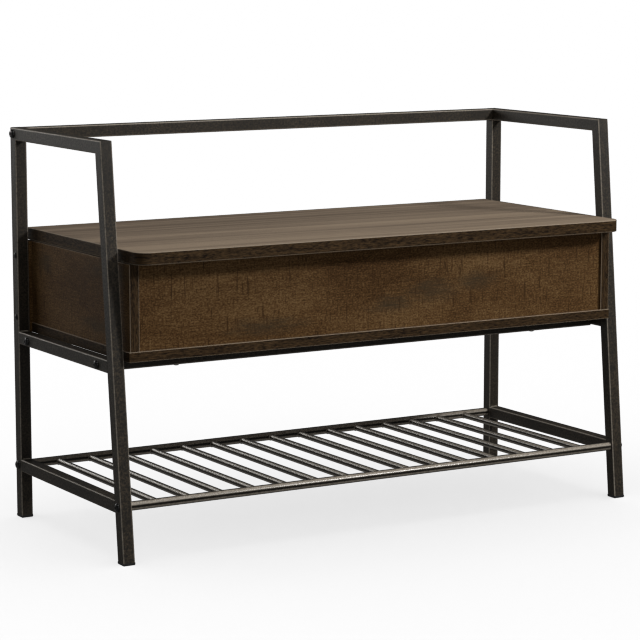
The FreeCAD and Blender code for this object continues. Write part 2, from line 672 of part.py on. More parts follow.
def stay_screw_places():
    """Right-hand stay screws: two up into the lid and two out into the side panel."""
    plate_middle = LID_TAB_X + STAY_PLATE - LID_PLATE_WIDTH / 2
    low = LID_BOTTOM - STAY_PLATE
    lid = [
        V(plate_middle, STAY_LID_PIVOT.y + way * LID_SCREW_OFFSET, low) for way in (-1, 1)
    ]
    side = [at_x(STAY_SIDE_PIVOT, SIDE_PLATE_X) - V(0, 0, drop) for drop in SIDE_SCREW_DROPS]
    return lid, side


def stay_screw_shanks():
    """Space taken by the stay screws, for both sides: into the lid, and into the panels."""
    lid, side = stay_screw_places()
    up = [cylinder(STAY_SCREW_RADIUS, place, Z_AXIS, STAY_SCREW_LENGTH) for place in lid]
    out = [cylinder(STAY_SCREW_RADIUS, place, X_AXIS, STAY_SCREW_LENGTH) for place in side]
    return both_sides(up), both_sides(out)


def make_lid_bracket(lid_shanks):
    """Angle bracket under the lid that carries the upper link's stud."""
    tab_right = LID_TAB_X + STAY_PLATE
    plate = Part.makeBox(
        LID_PLATE_WIDTH, 2 * LID_PLATE_HALF_LENGTH, STAY_PLATE,
        V(tab_right - LID_PLATE_WIDTH, STAY_LID_PIVOT.y - LID_PLATE_HALF_LENGTH, LID_BOTTOM - STAY_PLATE),
    )
    tab = Part.makeBox(
        STAY_PLATE, 2 * LID_TAB_HALF_WIDTH, LID_BOTTOM - STAY_LID_PIVOT.z,
        V(LID_TAB_X, STAY_LID_PIVOT.y - LID_TAB_HALF_WIDTH, STAY_LID_PIVOT.z),
    )
    end = cylinder(LID_TAB_HALF_WIDTH, at_x(STAY_LID_PIVOT, LID_TAB_X), X_AXIS, STAY_PLATE)
    stud = make_stud(STAY_LID_PIVOT, tab_right, UPPER_LINK_X + LINK_THICKNESS)
    bracket = plate.fuse([tab, end, stud]).removeSplitter()
    return cut_all(bracket, lid_shanks)


def make_side_bracket(side_shanks):
    """Plate on the side panel that carries the lower link's stud."""
    height = SIDE_PLATE_ABOVE + SIDE_PLATE_BELOW
    low = at_x(STAY_SIDE_PIVOT, SIDE_PLATE_X) - V(0, SIDE_PLATE_HALF_WIDTH, SIDE_PLATE_BELOW)
    plate = Part.makeBox(STAY_PLATE, 2 * SIDE_PLATE_HALF_WIDTH, height, low)
    corners = [edge for edge in plate.Edges if abs(edge.Length - STAY_PLATE) < 1e-6]
    plate = plate.makeFillet(SIDE_PLATE_HALF_WIDTH / 3, corners)
    stud = make_stud(STAY_SIDE_PIVOT, SIDE_PLATE_X, LOWER_LINK_X)
    return cut_all(plate.fuse(stud).removeSplitter(), side_shanks)


def make_elbow_rivet():
    """Rivet fixed in the upper link, loose in the lower link, with a head each side."""
    elbow = stay_elbow()
    low = UPPER_LINK_X - STAY_HEAD_HEIGHT
    high = LOWER_LINK_X + LINK_THICKNESS + STAY_HEAD_GAP
    body = cylinder(STAY_STUD_RADIUS, at_x(elbow, low), X_AXIS, high - low)
    inner = cylinder(STAY_HEAD_RADIUS, at_x(elbow, low), X_AXIS, STAY_HEAD_HEIGHT)
    outer = cylinder(STAY_HEAD_RADIUS, at_x(elbow, high), X_AXIS, STAY_HEAD_HEIGHT)
    return body.fuse([inner, outer]).removeSplitter()


def make_stays():
    """A two-link folding stay at each end of the box."""
    lid_shanks, side_shanks = stay_screw_shanks()
    elbow = stay_elbow()
    running = STAY_STUD_RADIUS + STAY_CLEARANCE
    upper = make_link(STAY_LID_PIVOT, elbow, UPPER_LINK_X, running, STAY_STUD_RADIUS)
    lower = make_link(STAY_SIDE_PIVOT, elbow, LOWER_LINK_X, running, STAY_STUD_RADIUS + ELBOW_PLAY)
    save_pair("stay_upper_link", upper)
    save_pair("stay_lower_link", lower)
    save_pair("stay_rivet", make_elbow_rivet())
    save_pair("stay_lid_bracket", make_lid_bracket(lid_shanks))
    save_pair("stay_side_bracket", make_side_bracket(side_shanks))
    screw = pan_screw(
        STAY_SCREW_HEAD_RADIUS, STAY_SCREW_HEAD_HEIGHT, STAY_SCREW_RADIUS, STAY_SCREW_LENGTH
    )
    lid_places, side_places = stay_screw_places()
    save("stay_lid_screws", both_sides([turned(screw, -Z_AXIS, place) for place in lid_places]))
    save("stay_side_screws", both_sides([turned(screw, -X_AXIS, place) for place in side_places]))


def make_boards():
    """The five boards of the box, drilled for their joinery."""
    cams, pockets, cam_bolts, dowels = joinery()
    drilled = pockets + cam_bolts + dowels
    floor_half = FRAME_INNER_X - FLOOR_SIDE_GAP
    front_y, back_y = y_at(BOX_REACH), y_at(BACK_PANEL_FRONT)
    bottom = eased_board(
        V(-floor_half, front_y, CROSS_RAIL_TOP), V(floor_half, back_y, BOX_FLOOR), BOARD_EASE,
    )
    save("bottom_board", [cut_all(bottom, drilled + board_screw_shanks())])
    side = eased_board(V(BOX_INNER_X, front_y, BOX_FLOOR), V(BOX_OUTER_X, back_y, BOX_TOP), BOARD_EASE)
    side_screws = stay_screw_shanks()[1]
    save_pair("side_panel", cut_all(side, drilled + side_screws))
    front = eased_board(
        V(-BOX_INNER_X, y_at(FRONT_PANEL_FACE), BOX_FLOOR),
        V(BOX_INNER_X, y_at(FRONT_PANEL_FACE - BOARD), BOX_TOP), BOARD_EASE,
    )
    save("front_panel", [cut_all(front, drilled)])
    back = eased_board(
        V(-FRAME_INNER_X, back_y, CROSS_RAIL_TOP),
        V(FRAME_INNER_X, y_at(REAR_FACE_REACH), BOX_TOP), BOARD_EASE,
    )
    save("back_panel", [cut_all(back, drilled + panel_insert_blanks() + leaf_screws(-1))])
    save("cam_locks", cams)
    save("cam_bolts", cam_bolts)
    save("panel_dowels", dowels)


def make_lid():
    """Lift-up seat with rounded front corners and eased edges."""
    half = FRAME_INNER_X - LID_SIDE_GAP
    depth = LID_REACH - REAR_FACE_REACH
    lid = Part.makeBox(2 * half, depth, LID_THICKNESS, V(-half, y_at(LID_REACH), LID_BOTTOM))
    front_corners = [
        edge for edge in lid.Edges
        if abs(edge.Length - LID_THICKNESS) < 1e-6 and edge.CenterOfMass.y < y_at(LID_REACH) + 1
    ]
    lid = lid.makeFillet(LID_CORNER, front_corners)
    rims = [edge for edge in lid.Edges if edge.BoundBox.ZLength < 1e-6]
    lid = lid.makeFillet(LID_EASE, rims)
    save("lid", [cut_all(lid, leaf_screws(1) + stay_screw_shanks()[0])])


def make_bumpers():
    """Soft pads on the rims of the side panels, under the lid."""
    height = BOX_TOP_GAP - BUMPER_GAP
    x = BOX_OUTER_X - BOARD / 2
    pads = [
        cylinder(BUMPER_RADIUS, V(x, y_at(reach), BOX_TOP), Z_AXIS, height) for reach in BUMPER_REACHES
    ]
    save("lid_bumpers", both_sides(pads))


os.makedirs("parts", exist_ok=True)
make_side_frames()
make_glides()
make_rails()
make_end_nuts()
make_frame_bolts()
make_panel_inserts()
make_shelf()
make_board_screws()
make_boards()
make_lid()
make_bumpers()
make_hinges()
make_stays()
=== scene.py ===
import math

import bpy
import numpy as np
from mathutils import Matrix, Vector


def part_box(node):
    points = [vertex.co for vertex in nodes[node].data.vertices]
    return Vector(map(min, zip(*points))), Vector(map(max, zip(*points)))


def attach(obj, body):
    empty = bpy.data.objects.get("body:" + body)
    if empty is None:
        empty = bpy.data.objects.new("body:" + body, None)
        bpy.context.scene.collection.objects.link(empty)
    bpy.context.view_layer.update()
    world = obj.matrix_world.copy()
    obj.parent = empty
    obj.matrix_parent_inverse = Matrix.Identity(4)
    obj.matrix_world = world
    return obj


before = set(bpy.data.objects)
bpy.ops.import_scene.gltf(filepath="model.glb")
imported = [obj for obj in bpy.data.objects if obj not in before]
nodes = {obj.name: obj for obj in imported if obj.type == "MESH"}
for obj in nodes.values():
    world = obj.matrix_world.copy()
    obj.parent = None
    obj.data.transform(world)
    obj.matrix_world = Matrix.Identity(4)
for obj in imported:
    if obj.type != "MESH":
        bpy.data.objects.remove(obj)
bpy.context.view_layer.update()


# ---------------------------------------------------------------------------------------------
# Side frames
# Each is five square steel tubes welded together: rear post, leaning front post, arm rail, and
# two level rails. The whole frame is powder coated in a bronze black.
# ---------------------------------------------------------------------------------------------

COAT_DEEP = (0.0050, 0.0038, 0.0022, 1)
COAT_FLECK = (0.0660, 0.0500, 0.0330, 1)
# colour of the painted highlight on the tubes' rounded edges
COAT_EDGE_HIGHLIGHT = (0.4600, 0.4100, 0.3450, 1)
COAT_SHEEN = 0.34               # strength of the mirror part of the coat's shine
FLECK_SIZE = 0.0034
FLECK_STOPS = (0.44, 0.64)      # fleck noise where the deep colour ends and the fleck's is full
CLOUD_SIZE = 0.09
CLOUD_SHARE = 0.45              # how far the darkest clouds go towards the deep colour
EDGE_HIGHLIGHT_SHARE = (0.35, 0.80)       # how far a rounded edge goes towards its painted highlight, by fleck
ROUNDED = (0.995, 0.90)         # how square a surface is to an axis: flat, then fully rounded
PEEL_SIZE = 0.0028
PEEL_HEIGHT = 0.00007
FRAME_GLOSS = (0.40, 0.56)      # roughness of the flecks, then of what lies between them
SIDE_TUBES = ("rear_post", "front_post", "top_rail", "mid_rail", "low_rail")
SIDES = ("left", "right")


def add_node(tree, kind, inputs, **settings):
    """A shader node of a kind. An input is keyed by name or number, and is a value or a socket."""
    made = tree.nodes.new(kind)
    for name, value in settings.items():
        setattr(made, name, value)
    for name, value in inputs.items():
        if isinstance(value, bpy.types.NodeSocket):
            tree.links.new(value, made.inputs[name])
        else:
            made.inputs[name].default_value = value
    return made


def new_finish(name, **constants):
    """A material with constant shader values; returns it with its tree, shader and coordinates."""
    material = bpy.data.materials.new(name)
    material.use_nodes = True
    tree = material.node_tree
    shader = tree.nodes["Principled BSDF"]
    for socket, value in constants.items():
        shader.inputs[socket.replace("_", " ")].default_value = value
    return material, tree, shader, tree.nodes.new("ShaderNodeTexCoord")


def noise(tree, place, size, detail=3.0, roughness=0.6, distortion=0.0):
    """Noise from 0 to 1 whose blotches are about one size across, in metres."""
    inputs = {"Vector": place, "Scale": 1 / size, "Detail": detail}
    inputs.update({"Roughness": roughness, "Distortion": distortion})
    return add_node(tree, "ShaderNodeTexNoise", inputs).outputs["Fac"]


def ramp(tree, factor, stops):
    """A colour for a factor, from pairs of a position and a colour."""
    made = add_node(tree, "ShaderNodeValToRGB", {"Fac": factor})
    elements = made.color_ramp.elements
    while len(elements) < len(stops):
        elements.new(0.5)
    for element, (position, colour) in zip(elements, stops):
        element.position = position
        element.color = colour
    return made.outputs["Color"]


def spread(tree, value, low, high, to_low=0.0, to_high=1.0):
    """A value from low to high spread smoothly over another range, and held at its ends."""
    inputs = {"Value": value, "From Min": low, "From Max": high, "To Min": to_low, "To Max": to_high}
    made = add_node(tree, "ShaderNodeMapRange", inputs, interpolation_type="SMOOTHSTEP")
    return made.outputs["Result"]


def blended(tree, factor, under, over):
    """One colour laid over another by a factor."""
    inputs = {0: factor, 6: under, 7: over}
    return add_node(tree, "ShaderNodeMix", inputs, data_type="RGBA").outputs[2]


def joined(tree, first, second, how="ADD"):
    """Two values joined by an operation of arithmetic, which is adding unless another is named."""
    return add_node(tree, "ShaderNodeMath", {0: first, 1: second}, operation=how).outputs["Value"]


def rounding(tree, place):
    """1 in the middle of a rounded edge and 0 on a flat face: how far the surface's direction
    is from its nearest axis."""
    normal = {0: place.outputs["Normal"]}
    direction = add_node(tree, "ShaderNodeVectorMath", normal, operation="ABSOLUTE")
    parts = add_node(tree, "ShaderNodeSeparateXYZ", {"Vector": direction.outputs["Vector"]})
    largest = joined(tree, parts.outputs["X"], parts.outputs["Y"], "MAXIMUM")
    largest = joined(tree, largest, parts.outputs["Z"], "MAXIMUM")
    return spread(tree, largest, *ROUNDED)


def raise_surface(tree, shader, height, distance):
    """Fine relief on the shader's surface, of a height from 0 to 1 times a distance."""
    bump = add_node(tree, "ShaderNodeBump", {"Height": height, "Distance": distance, "Strength": 1.0})
    tree.links.new(bump.outputs["Normal"], shader.inputs["Normal"])


def powder_coat(name, deep, fleck, gloss):
    """Powder coat: a deep colour with fine flecks, cloudy over a hand's width, with a painted
    highlight on the rounded edges, and an orange-peel surface."""
    coat = {"Metallic": 0.0, "IOR": 1.5, "Specular_IOR_Level": COAT_SHEEN}
    material, tree, shader, place = new_finish(name, **coat)
    here = place.outputs["Object"]
    flecks = noise(tree, here, FLECK_SIZE, 4.0, 0.75)
    colour = ramp(tree, flecks, list(zip(FLECK_STOPS, (deep, fleck))))
    clouds = spread(tree, noise(tree, here, CLOUD_SIZE, 2.0), 0.35, 0.70, 0.0, CLOUD_SHARE)
    colour = blended(tree, clouds, colour, deep)
    # Painted highlight: the rounded edges go towards a pale colour, more where the flecks are
    pale = joined(tree, rounding(tree, place), spread(tree, flecks, 0.30, 0.65, *EDGE_HIGHLIGHT_SHARE), "MULTIPLY")
    colour = blended(tree, pale, colour, COAT_EDGE_HIGHLIGHT)
    tree.links.new(colour, shader.inputs["Base Color"])
    tree.links.new(spread(tree, flecks, 0.35, 0.70, gloss[1], gloss[0]), shader.inputs["Roughness"])
    raise_surface(tree, shader, noise(tree, here, PEEL_SIZE, 2.0), PEEL_HEIGHT)
    return material


def dress(names, material):
    """Gives CAD nodes their finish."""
    for name in names:
        for place in nodes[name].material_slots:
            place.material = material


frame_coat = powder_coat("frame_powder_coat", COAT_DEEP, COAT_FLECK, FRAME_GLOSS)
dress([f"{side}_{tube}" for side in SIDES for tube in SIDE_TUBES], frame_coat)


# ---------------------------------------------------------------------------------------------
# Weld beads of the side frames
# A short fillet of weld fills each inner corner where a level rail meets a post, and where the
# arm rail meets the posts. Its ripples show through the same powder coat.
# ---------------------------------------------------------------------------------------------

BEAD_RADIUS = 0.0014
BEAD_RIPPLES = 11
BEAD_RIPPLE_SHARE = 0.10
BEAD_ALONG = 96
BEAD_AROUND = 14
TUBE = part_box("back_top_rail")[1].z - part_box("back_top_rail")[0].z
BEAD_STOP_SHARE = 0.14          # part of the tube's width that a bead stops short of each side
BEAD_TIP_ANGLE = 0.06           # how far the last ring of points stays from the bead's tip, in radians


def capped(rings):
    """Vertices and faces of a closed surface from rings of points, with a point at each end."""
    along, around = rings.shape[:2]
    ends = np.stack([rings[0].mean(0), rings[-1].mean(0)])
    vertices = np.concatenate([rings.reshape(-1, 3), ends])
    index = np.arange(along * around).reshape(along, around)
    turned = np.roll(index, -1, 1)
    sides = np.stack([index[:-1], turned[:-1], turned[1:], index[1:]], -1).reshape(-1, 4)
    first, last = along * around, along * around + 1
    start = np.stack([turned[0], index[0], np.full(around, first)], -1)
    end = np.stack([index[-1], turned[-1], np.full(around, last)], -1)
    return vertices, sides.tolist() + start.tolist() + end.tolist()


def looped(rings):
    """Vertices and faces of a closed ring-shaped surface, from rings of points round its path."""
    along, around = rings.shape[:2]
    index = np.arange(along * around).reshape(along, around)
    beside, ahead = np.roll(index, -1, 1), np.roll(index, -1, 0)
    sides = np.stack([index, beside, np.roll(beside, -1, 0), ahead], -1).reshape(-1, 4)
    return rings.reshape(-1, 3), sides.tolist()


def enclosed_volume(vertices, faces):
    """Signed volume inside a closed surface: a sixth of the sum, over triangles, of one corner
    dotted with the cross product of the other two. It is below 0 where the faces point inwards."""
    halves = [face[:3] for face in faces] + [(f[0], f[2], f[3]) for f in faces if len(f) == 4]
    a, b, c = (vertices[np.array(halves)[:, corner]] for corner in range(3))
    return float((a * np.cross(b, c)).sum() / 6)


def make_piece(name, surfaces, material, body):
    """One smooth piece from closed surfaces, all facing outwards, riding on a CAD body."""
    all_vertices, all_faces, count = [], [], 0
    for vertices, faces in surfaces:
        if enclosed_volume(vertices - vertices.mean(0), faces) < 0:
            faces = [face[::-1] for face in faces]
        all_vertices.append(vertices)
        all_faces += [[count + corner for corner in face] for face in faces]
        count += len(vertices)
    mesh = bpy.data.meshes.new(name)
    mesh.from_pydata(np.concatenate(all_vertices).tolist(), [], all_faces)
    mesh.polygons.foreach_set("use_smooth", np.ones(len(mesh.polygons), bool))
    mesh.materials.append(material)
    piece = bpy.data.objects.new(name, mesh)
    bpy.context.scene.collection.objects.link(piece)
    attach(piece, body)


def straight_bead(start, end, phase):
    """A weld bead in a straight corner. Around: a circle. Along: its radius is the bead's radius
    times the fourth root of one minus the eighth power of the distance from the middle, so it
    ends round, with a sine ripple along it."""
    start, end = np.array(start), np.array(end)
    way = (end - start) / np.linalg.norm(end - start)
    aside = np.cross(way, (0.0, 0.0, 1.0))
    aside /= np.linalg.norm(aside)
    above = np.cross(aside, way)
    share = -np.cos(np.linspace(BEAD_TIP_ANGLE, math.pi - BEAD_TIP_ANGLE, BEAD_ALONG))
    ripple = 1 + BEAD_RIPPLE_SHARE * np.sin(BEAD_RIPPLES * math.pi * share + phase)
    radius = BEAD_RADIUS * (1 - share ** 8) ** 0.25 * ripple
    turn = np.linspace(0, 2 * math.pi, BEAD_AROUND, endpoint=False)
    centre = (start + end) / 2 + np.outer(share, (end - start) / 2)
    circle = np.outer(np.cos(turn), aside) + np.outer(np.sin(turn), above)
    return capped(centre[:, None] + radius[:, None, None] * circle)


POST_LOW, POST_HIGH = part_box("right_front_post")
ARM_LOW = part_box("right_top_rail")[0]
LEAN = (ARM_LOW.y - POST_LOW.y) / (POST_HIGH.z - POST_LOW.z)
REAR_POST_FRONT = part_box("right_rear_post")[1].y - TUBE


def leaning_post_rear(z):
    """Y of the leaning post's rear face at a height."""
    front = POST_LOW.y + LEAN * (z - POST_LOW.z)
    return front + TUBE * math.sqrt(1 + LEAN ** 2)


def frame_corners():
    """Y and Z of every inner corner of a side frame that carries a weld bead."""
    corners = []
    for rail in ("mid_rail", "low_rail"):
        low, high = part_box("right_" + rail)
        for z in (low.z, high.z):
            corners += [(REAR_POST_FRONT, z), (leaning_post_rear(z), z)]
    under_arm = ARM_LOW.z
    return corners + [(REAR_POST_FRONT, under_arm), (leaning_post_rear(under_arm), under_arm)]


def frame_beads():
    """Beads across the tube's width at every inner corner, on both side frames."""
    outer, inner = POST_HIGH.x - TUBE * BEAD_STOP_SHARE, POST_LOW.x + TUBE * BEAD_STOP_SHARE
    surfaces = []
    for number, (y, z) in enumerate(frame_corners()):
        for side in (-1, 1):
            surfaces.append(straight_bead((side * inner, y, z), (side * outer, y, z), number + side))
    return surfaces


make_piece("frame_weld_beads", frame_beads(), frame_coat, "frame")


# ---------------------------------------------------------------------------------------------
# Level rails
# The back rail and the two cross rails are the same square tube, cut square, with a threaded
# nut pressed in each end. They are bolted between the side frames and have the same coat.
# ---------------------------------------------------------------------------------------------

dress(("back_top_rail", "front_cross_rail", "rear_cross_rail"), frame_coat)


# ---------------------------------------------------------------------------------------------
# Shoe shelf
# Two round steel bars carry fifteen rods, coped and welded all round at both ends. The coat on
# them is glossier and darker than on the square tubes.
# ---------------------------------------------------------------------------------------------

SHELF_DEEP = (0.0032, 0.0026, 0.0018, 1)
SHELF_FLECK = (0.0150, 0.0120, 0.0085, 1)
ROD_COUNT = 15
ROD_BEAD_RADIUS = 0.0011
ROD_BEAD_RIPPLES = 13
ROD_BEAD_ALONG = 72
ROD_BEAD_AROUND = 8
ROD_BEAD_SHIFT = 1.7            # how far the ripples turn from one rod to the next, in radians
SHELF_GLOSS = (0.15, 0.25)

shelf_coat = powder_coat("shelf_powder_coat", SHELF_DEEP, SHELF_FLECK, SHELF_GLOSS)
dress(("shelf_front_bar", "shelf_rear_bar", "shelf_rods"), shelf_coat)


def saddle_bead(x, z, rod_radius, bar, facing, phase):
    """A weld bead where a rod meets a bar. Its path is the line where the two cylinders cross: a
    circle of the rod's radius seen along the rod, set back from the bar's middle by the square
    root of the bar's radius squared minus the height from the bar's middle squared."""
    bar_y, bar_z, bar_radius = bar
    turn = np.linspace(0, 2 * math.pi, ROD_BEAD_ALONG, endpoint=False)
    height = z + rod_radius * np.sin(turn)
    depth = bar_y + facing * np.sqrt(bar_radius ** 2 - (height - bar_z) ** 2)
    path = np.stack([x + rod_radius * np.cos(turn), depth, height], -1)
    outward = np.stack([np.cos(turn), np.zeros_like(turn), np.sin(turn)], -1)
    along_rod = np.array([0.0, facing, 0.0])
    around = np.linspace(0, 2 * math.pi, ROD_BEAD_AROUND, endpoint=False)[None, :, None]
    radius = ROD_BEAD_RADIUS * (1 + BEAD_RIPPLE_SHARE * np.sin(ROD_BEAD_RIPPLES * turn + phase))
    ring = np.cos(around) * outward[:, None] + np.sin(around) * along_rod
    return looped(path[:, None] + radius[:, None, None] * ring)


def rod_beads():
    """A bead round both ends of every rod."""
    rods_low, rods_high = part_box("shelf_rods")
    rod_radius = (rods_high.z - rods_low.z) / 2
    rod_z = (rods_high.z + rods_low.z) / 2
    places = np.linspace(rods_low.x + rod_radius, rods_high.x - rod_radius, ROD_COUNT)
    surfaces = []
    for name, facing in (("shelf_front_bar", 1), ("shelf_rear_bar", -1)):
        low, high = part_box(name)
        bar = ((low.y + high.y) / 2, (low.z + high.z) / 2, (high.z - low.z) / 2)
        for number, x in enumerate(places):
            phase = ROD_BEAD_SHIFT * number + facing
            surfaces.append(saddle_bead(x, rod_z, rod_radius, bar, facing, phase))
    return surfaces


make_piece("rod_weld_beads", rod_beads(), shelf_coat, "frame")


# ---------------------------------------------------------------------------------------------
# Bolts and nuts of the frame
# Dome-headed socket bolts in black oxide go through the side frames into zinc-plated nuts in
# the rail and bar ends. Smaller ones go through the rear posts into brass inserts in the board.
# ---------------------------------------------------------------------------------------------

CLOUDING_SIZE = 0.0035          # size of the two tones of a plated or oxidised finish
SCRATCH_SHARE = 6               # how many times finer the scratches are than that
SCRATCH_DEPTH = 0.00002
OXIDE_TONES = ((0.020, 0.020, 0.021, 1), (0.008, 0.008, 0.009, 1))
ZINC_TONES = ((0.62, 0.61, 0.58, 1), (0.44, 0.44, 0.43, 1))
BRASS_TONES = ((0.68, 0.52, 0.25, 1), (0.52, 0.38, 0.16, 1))


def plated(name, light_and_dark, metallic, gloss):
    """A plated or oxidised hardware finish: two tones clouding into each other, fine scratches
    that change the gloss, and a barely uneven surface."""
    material, tree, shader, place = new_finish(name, Metallic=metallic)
    here = place.outputs["Object"]
    light, dark = light_and_dark
    tones = noise(tree, here, CLOUDING_SIZE)
    tree.links.new(ramp(tree, tones, [(0.35, dark), (0.65, light)]), shader.inputs["Base Color"])
    scratches = noise(tree, here, CLOUDING_SIZE / SCRATCH_SHARE, 4.0, 0.8, 1.5)
    tree.links.new(spread(tree, scratches, 0.3, 0.7, *gloss), shader.inputs["Roughness"])
    raise_surface(tree, shader, scratches, SCRATCH_DEPTH)
    return material


black_oxide = plated("black_oxide", OXIDE_TONES, 0.35, (0.12, 0.24))
zinc = plated("zinc_plate", ZINC_TONES, 1.0, (0.24, 0.42))
brass = plated("turned_brass", BRASS_TONES, 1.0, (0.22, 0.36))

dress(("frame_bolts", "panel_bolts"), black_oxide)
dress(("rail_end_nuts", "bar_end_nuts"), zinc)
dress(("panel_inserts",), brass)


# ---------------------------------------------------------------------------------------------
# Feet
# Four black plastic glides, moulded with a pad under the tube and a stem pressed up its bore.
# The pad is finely textured by the mould, and a little paler with dust at the floor.
# ---------------------------------------------------------------------------------------------

GLIDE_BLACK = (0.011, 0.011, 0.011, 1)
GLIDE_DUST = (0.060, 0.056, 0.050, 1)
GLIDE_GRAIN = 0.0007
DUST_HEIGHT = 0.0022
DUST_PATCH = 0.006
MOULD_DEPTH = 0.00005


def moulded_plastic(name, black, dust, grain):
    """Moulded plastic with a fine grain, and dust that fades out above the floor."""
    material, tree, shader, place = new_finish(name, IOR=1.46)
    here = place.outputs["Object"]
    height = add_node(tree, "ShaderNodeSeparateXYZ", {"Vector": here}).outputs["Z"]
    low_down = spread(tree, height, DUST_HEIGHT, 0.0)
    patches = spread(tree, noise(tree, here, DUST_PATCH, 4.0), 0.40, 0.65, 0.1, 0.7)
    colour = blended(tree, joined(tree, low_down, patches, "MULTIPLY"), black, dust)
    tree.links.new(colour, shader.inputs["Base Color"])
    texture = noise(tree, here, grain, 2.0)
    tree.links.new(spread(tree, texture, 0.3, 0.7, 0.48, 0.66), shader.inputs["Roughness"])
    raise_surface(tree, shader, texture, MOULD_DEPTH)
    return material


dress(("foot_glides",), moulded_plastic("glide_plastic", GLIDE_BLACK, GLIDE_DUST, GLIDE_GRAIN))


# ---------------------------------------------------------------------------------------------
# Storage box boards
# Engineered board, 16 mm, faced with a dark brown sawn-oak laminate: soft golden and dark
# patches, knots, cross saw marks. Its edges have a darker grained band of the same decor.
# ---------------------------------------------------------------------------------------------

BOARD_DARK = (0.0350, 0.0150, 0.0042, 1)
BOARD_BROWN = (0.0960, 0.0485, 0.0165, 1)
BOARD_GOLD = (0.1980, 0.1200, 0.0520, 1)
KNOT_GREY = (0.0430, 0.0310, 0.0175, 1)
BAND_DARK = (0.0060, 0.0028, 0.0011, 1)
BAND_LIGHT = (0.0740, 0.0440, 0.0200, 1)
# colour of the painted highlight on the rounded line between a board's face and its edge band
BAND_RIM_HIGHLIGHT = (0.5200, 0.4300, 0.3300, 1)
AXES = ("X", "Y", "Z")
LAMINATE_SHEEN = 0.10
LAMINATE_DEPTH = 0.00009
FACE_LIMITS = (0.80, 0.97)      # how square a surface is to the board before it counts as its face
RIM_FROM_EDGE = (0.10, 0.35)    # how square it is where the rim begins and is full, from the edge
RIM_FROM_FACE = (0.99, 0.92)    # and the same from the face

# Each pattern's size along the grain and across it, its detail, its roughness and its distortion
PATCHES = (0.26, 0.075, 3.0, 0.55, 0.6)
FIBRES = (0.026, 0.0030, 4.0, 0.7)
SAW_MARKS = (0.0036, 0.011, 3.0, 0.7)
MOTTLE = (0.0036, 0.0022, 3.0, 0.7)
CRACKS = (0.0038, 0.050, 2.0, 0.5)
KNOT_RIPPLES = (0.050, 0.0030, 2.0)
KNOT_OUTLINE = (0.030, 0.012, 4.0, 0.65)
BAND_WAVER = (0.030, 0.030, 2.0)
BAND_FIBRES = (0.011, 0.0022, 4.0, 0.75)
BAND_STREAKS = (0.090, 0.0060, 2.0)
BAND_SWAY = 0.006               # how far the edge band's grain wavers across the band
RIPPLE_SWAY = 0.020             # how far the knots' ripples bend across the grain

BOARD_STOPS = ((0.41, BOARD_DARK), (0.495, BOARD_BROWN), (0.585, BOARD_GOLD))
BAND_STOPS = ((0.41, BAND_DARK), (0.60, BAND_LIGHT))
CRACK_SHARE = (0.60, 0.69, 0.0, 0.80)  # noise where cracks begin and are full, and their strength
KNOT_SHARE = (0.35, 0.65, 0.40, 0.80)  # the ripples' noise, and how grey a knot is at its ends
KNOT_RAGGEDNESS = 1.4
KNOT_FADE = (1.75, 0.75)        # ragged distance where a knot begins and where it is full
BOARD_GLOSS = (0.7, 1.3, 0.62, 0.48)   # the relief's range, and the roughness at its ends


def board_places(tree, place, thickness, along):
    """Sockets of a board's own directions: along the grain, across it, through its thickness, and
    along its edges. The first three are the object's coordinates, and the last is the sum of the
    two in the face."""
    parts = add_node(tree, "ShaderNodeSeparateXYZ", {"Vector": place.outputs["Object"]}).outputs
    across = next(axis for axis in AXES if axis not in (thickness, along))
    run = joined(tree, parts[along], parts[across])
    return parts[along], parts[across], parts[thickness], run


def grain(tree, along, across, length, width, *character):
    """Noise from 0 to 1 whose blotches have a length with the grain and a width across it."""
    x = joined(tree, along, 1 / length, "MULTIPLY")
    y = joined(tree, across, 1 / width, "MULTIPLY")
    place = add_node(tree, "ShaderNodeCombineXYZ", {"X": x, "Y": y}).outputs["Vector"]
    return noise(tree, place, 1.0, *character)


def weighted(tree, *pairs):
    """The sum of values that each count for a share, from pairs of a value and its share."""
    total = None
    for value, share in pairs:
        part = joined(tree, value, share, "MULTIPLY")
        total = part if total is None else joined(tree, total, part)
    return total


def absolute(tree, value):
    """A value without its sign."""
    return add_node(tree, "ShaderNodeMath", {0: value}, operation="ABSOLUTE").outputs["Value"]


def squareness(tree, place, thickness):
    """1 where a surface lies flat in the board's face, 0 where it stands at right angles to it."""
    parts = add_node(tree, "ShaderNodeSeparateXYZ", {"Vector": place.outputs["Normal"]}).outputs
    return absolute(tree, parts[thickness])


def rim_mask(tree, square):
    """1 on the rounded edges between a board's faces and its edge band, 0 on both of those."""
    from_edge, from_face = spread(tree, square, *RIM_FROM_EDGE), spread(tree, square, *RIM_FROM_FACE)
    return joined(tree, from_edge, from_face, "MULTIPLY")


def edge_band(tree, run, through):
    """Colour of the edge band, which is fine wavering dark and light grain along the edge, and
    the noise of its fibres."""
    waver = grain(tree, run, through, *BAND_WAVER)
    wavered = joined(tree, through, joined(tree, waver, BAND_SWAY, "MULTIPLY"))
    fibres = grain(tree, run, wavered, *BAND_FIBRES)
    streaks = grain(tree, run, wavered, *BAND_STREAKS)
    tone = weighted(tree, (fibres, 0.78), (streaks, 0.22))
    return ramp(tree, tone, BAND_STOPS), fibres


